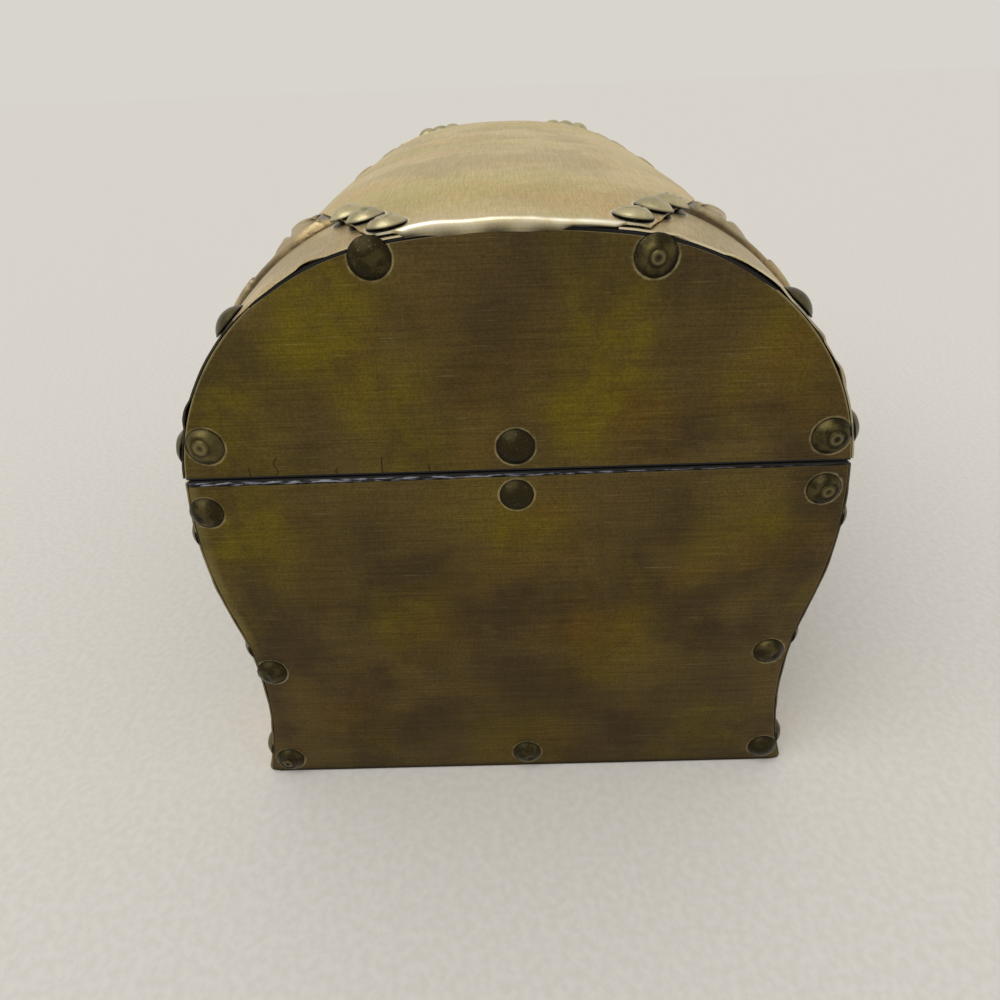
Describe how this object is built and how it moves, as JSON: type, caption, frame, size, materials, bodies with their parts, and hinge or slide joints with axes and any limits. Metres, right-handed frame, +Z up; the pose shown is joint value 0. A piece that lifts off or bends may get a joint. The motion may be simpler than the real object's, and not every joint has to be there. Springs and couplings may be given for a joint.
{
  "type": "domed trunk",
  "caption": "Small domed wooden trunk clad in aged brass sheet with round-headed nails, a hinged lid and a swinging hook latch.",
  "frame": {"origin": "middle of the underside, on the floor", "axes": "+X along the length towards the right end, +Y towards the hinges at the back, +Z up"},
  "size_m": [0.337, 0.2099, 0.2043],
  "materials": {
    "wood_boards": "dark stained softwood",
    "lining_card": "navy paper on stiff card",
    "nail_brass": "antiqued brass, dark in the hollows",
    "end_brass": "antiqued brass, brushed and toned in patches",
    "crown_brass": "antiqued brass, brushed lengthwise",
    "panel_brass": "embossed antiqued brass",
    "band_brass": "antiqued brass",
    "fitting_brass": "cast brass, aged",
    "steel_pin": "brassed steel"
  },
  "bodies": {
    "trunk_body": {"body_back_board": "wood_boards", "body_back_left_band": "band_brass", "body_back_lining": "lining_card", "body_back_nails": "nail_brass", "body_back_panel": "panel_brass", "body_back_right_band": "band_brass", "body_floor_board": "wood_boards", "body_floor_lining": "lining_card", "body_front_board": "wood_boards", "body_front_left_band": "band_brass", "body_front_lining": "lining_card", "body_front_nails": "nail_brass", "body_front_panel": "panel_brass", "body_front_right_band": "band_brass", "body_left_board": "wood_boards", "body_left_lining": "lining_card", "body_left_nails": "nail_brass", "body_left_plate": "end_brass", "body_right_board": "wood_boards", "body_right_lining": "lining_card", "body_right_nails": "nail_brass", "body_right_plate": "end_brass", "hinge_body_screws": "steel_pin", "hinge_left_body_leaf": "fitting_brass", "hinge_left_pin": "steel_pin", "hinge_right_body_leaf": "fitting_brass", "hinge_right_pin": "steel_pin", "latch_body_rosette": "fitting_brass", "latch_pivot_post": "fitting_brass"},
    "trunk_lid": {"hinge_left_lid_leaf": "fitting_brass", "hinge_lid_screws": "steel_pin", "hinge_right_lid_leaf": "fitting_brass", "latch_lid_rosette": "fitting_brass", "latch_stud": "fitting_brass", "lid_arch_lining": "lining_card", "lid_back_left_band": "band_brass", "lid_back_nails": "nail_brass", "lid_back_panel": "panel_brass", "lid_back_right_band": "band_brass", "lid_back_stave": "wood_boards", "lid_crown_nails": "nail_brass", "lid_crown_sheet": "crown_brass", "lid_crown_stave": "wood_boards", "lid_front_left_band": "band_brass", "lid_front_nails": "nail_brass", "lid_front_panel": "panel_brass", "lid_front_right_band": "band_brass", "lid_front_stave": "wood_boards", "lid_left_board": "wood_boards", "lid_left_lining": "lining_card", "lid_left_nails": "nail_brass", "lid_left_plate": "end_brass", "lid_right_board": "wood_boards", "lid_right_lining": "lining_card", "lid_right_nails": "nail_brass", "lid_right_plate": "end_brass"},
    "latch_hook": {"latch_hook": "fitting_brass"}
  },
  "joints": [
    {"name": "lid_hinge", "type": "hinge", "parent": "trunk_body", "child": "trunk_lid", "pos_m": [0, 0.10236, 0.1273], "axis": [-1, 0, 0], "range_deg": [0, 105]},
    {"name": "latch_pivot", "type": "hinge", "parent": "trunk_body", "child": "latch_hook", "pos_m": [0, -0.1025, 0.105], "axis": [0, -1, 0], "range_deg": [-150, 180]}
  ]
}
